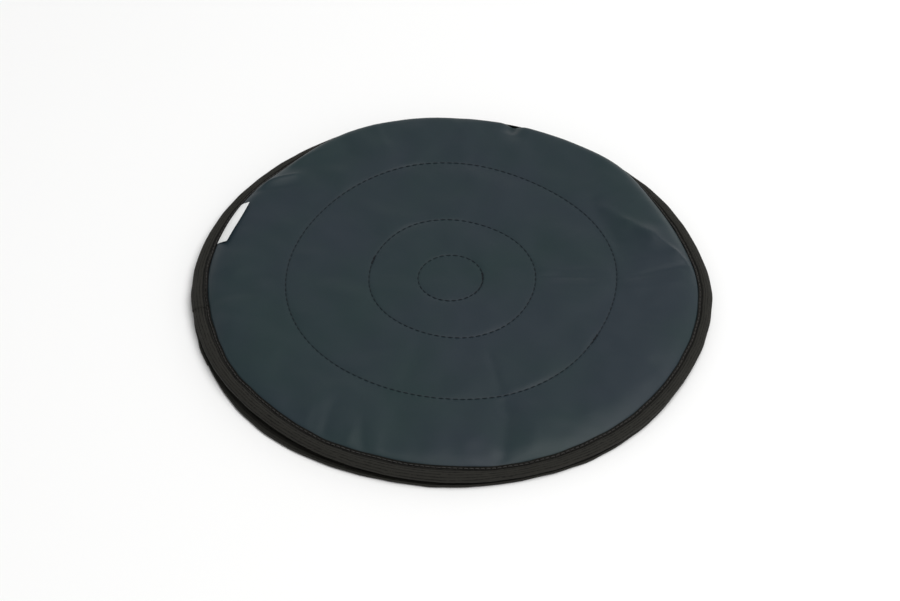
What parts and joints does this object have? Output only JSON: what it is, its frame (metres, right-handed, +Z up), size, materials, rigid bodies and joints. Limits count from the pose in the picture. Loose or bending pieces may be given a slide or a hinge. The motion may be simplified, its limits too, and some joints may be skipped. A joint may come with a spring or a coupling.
{
  "type": "swivel cushion disc",
  "caption": "Round padded seat disc that turns on a thin base disc about a hidden central pivot, both bound with folded tape, with ring quilting and a blank label.",
  "frame": {"origin": "centre of the base disc's underside, where the swivel axis meets the surface it lies on", "axes": "+Z up along the swivel axis; -Y towards the side that faces the viewer, +X to the viewer's right"},
  "size_m": [0.4499, 0.45, 0.0173],
  "materials": {
    "cover_fabric": "dark blue-grey coated nylon, fine weave, low satin sheen",
    "binding_tape": "black woven polypropylene tape with lengthwise ribs",
    "binding_thread": "black polyester sewing thread",
    "quilting_thread": "dark navy polyester sewing thread",
    "label_satin": "white woven satin ribbon, blank",
    "grip_fabric": "charcoal fabric with raised non-slip dots",
    "felt": "grey needled felt",
    "glide_nylon": "slippery silicone-finished nylon",
    "scrim": "thin grey non-woven scrim",
    "foam": "dark grey open-cell polyether foam",
    "stiffener_sheet": "natural polyethylene sheet",
    "pivot_plastic": "natural acetal, smooth"
  },
  "bodies": {
    "base": {"base_grip_cover": "grip_fabric", "base_pad": "felt", "base_stiffener": "stiffener_sheet", "base_glide_liner": "glide_nylon", "base_binding": "binding_tape", "base_binding_seam": "binding_thread", "pivot_stud": "pivot_plastic", "pivot_glide_washer": "pivot_plastic", "pivot_cap": "pivot_plastic"},
    "seat": {"pivot_bush": "pivot_plastic", "seat_glide_liner": "glide_nylon", "seat_stiffener": "stiffener_sheet", "seat_backing": "scrim", "seat_foam": "foam", "seat_cover": "cover_fabric", "seat_binding": "binding_tape", "seat_binding_seam": "binding_thread", "quilt_seam_inner": "quilting_thread", "quilt_seam_middle": "quilting_thread", "quilt_seam_outer": "quilting_thread"},
    "label": {"care_label": "label_satin"}
  },
  "joints": [
    {"name": "swivel", "type": "hinge", "parent": "base", "child": "seat", "pos_m": [0, 0, 0], "axis": [0, 0, 1], "continuous": true},
    {"name": "label_flap", "type": "hinge", "parent": "seat", "child": "label", "pos_m": [-0.19921, 0.06859, 0.01455], "axis": [-0.3256, -0.9455, 0], "range_deg": [0, 150]}
  ]
}
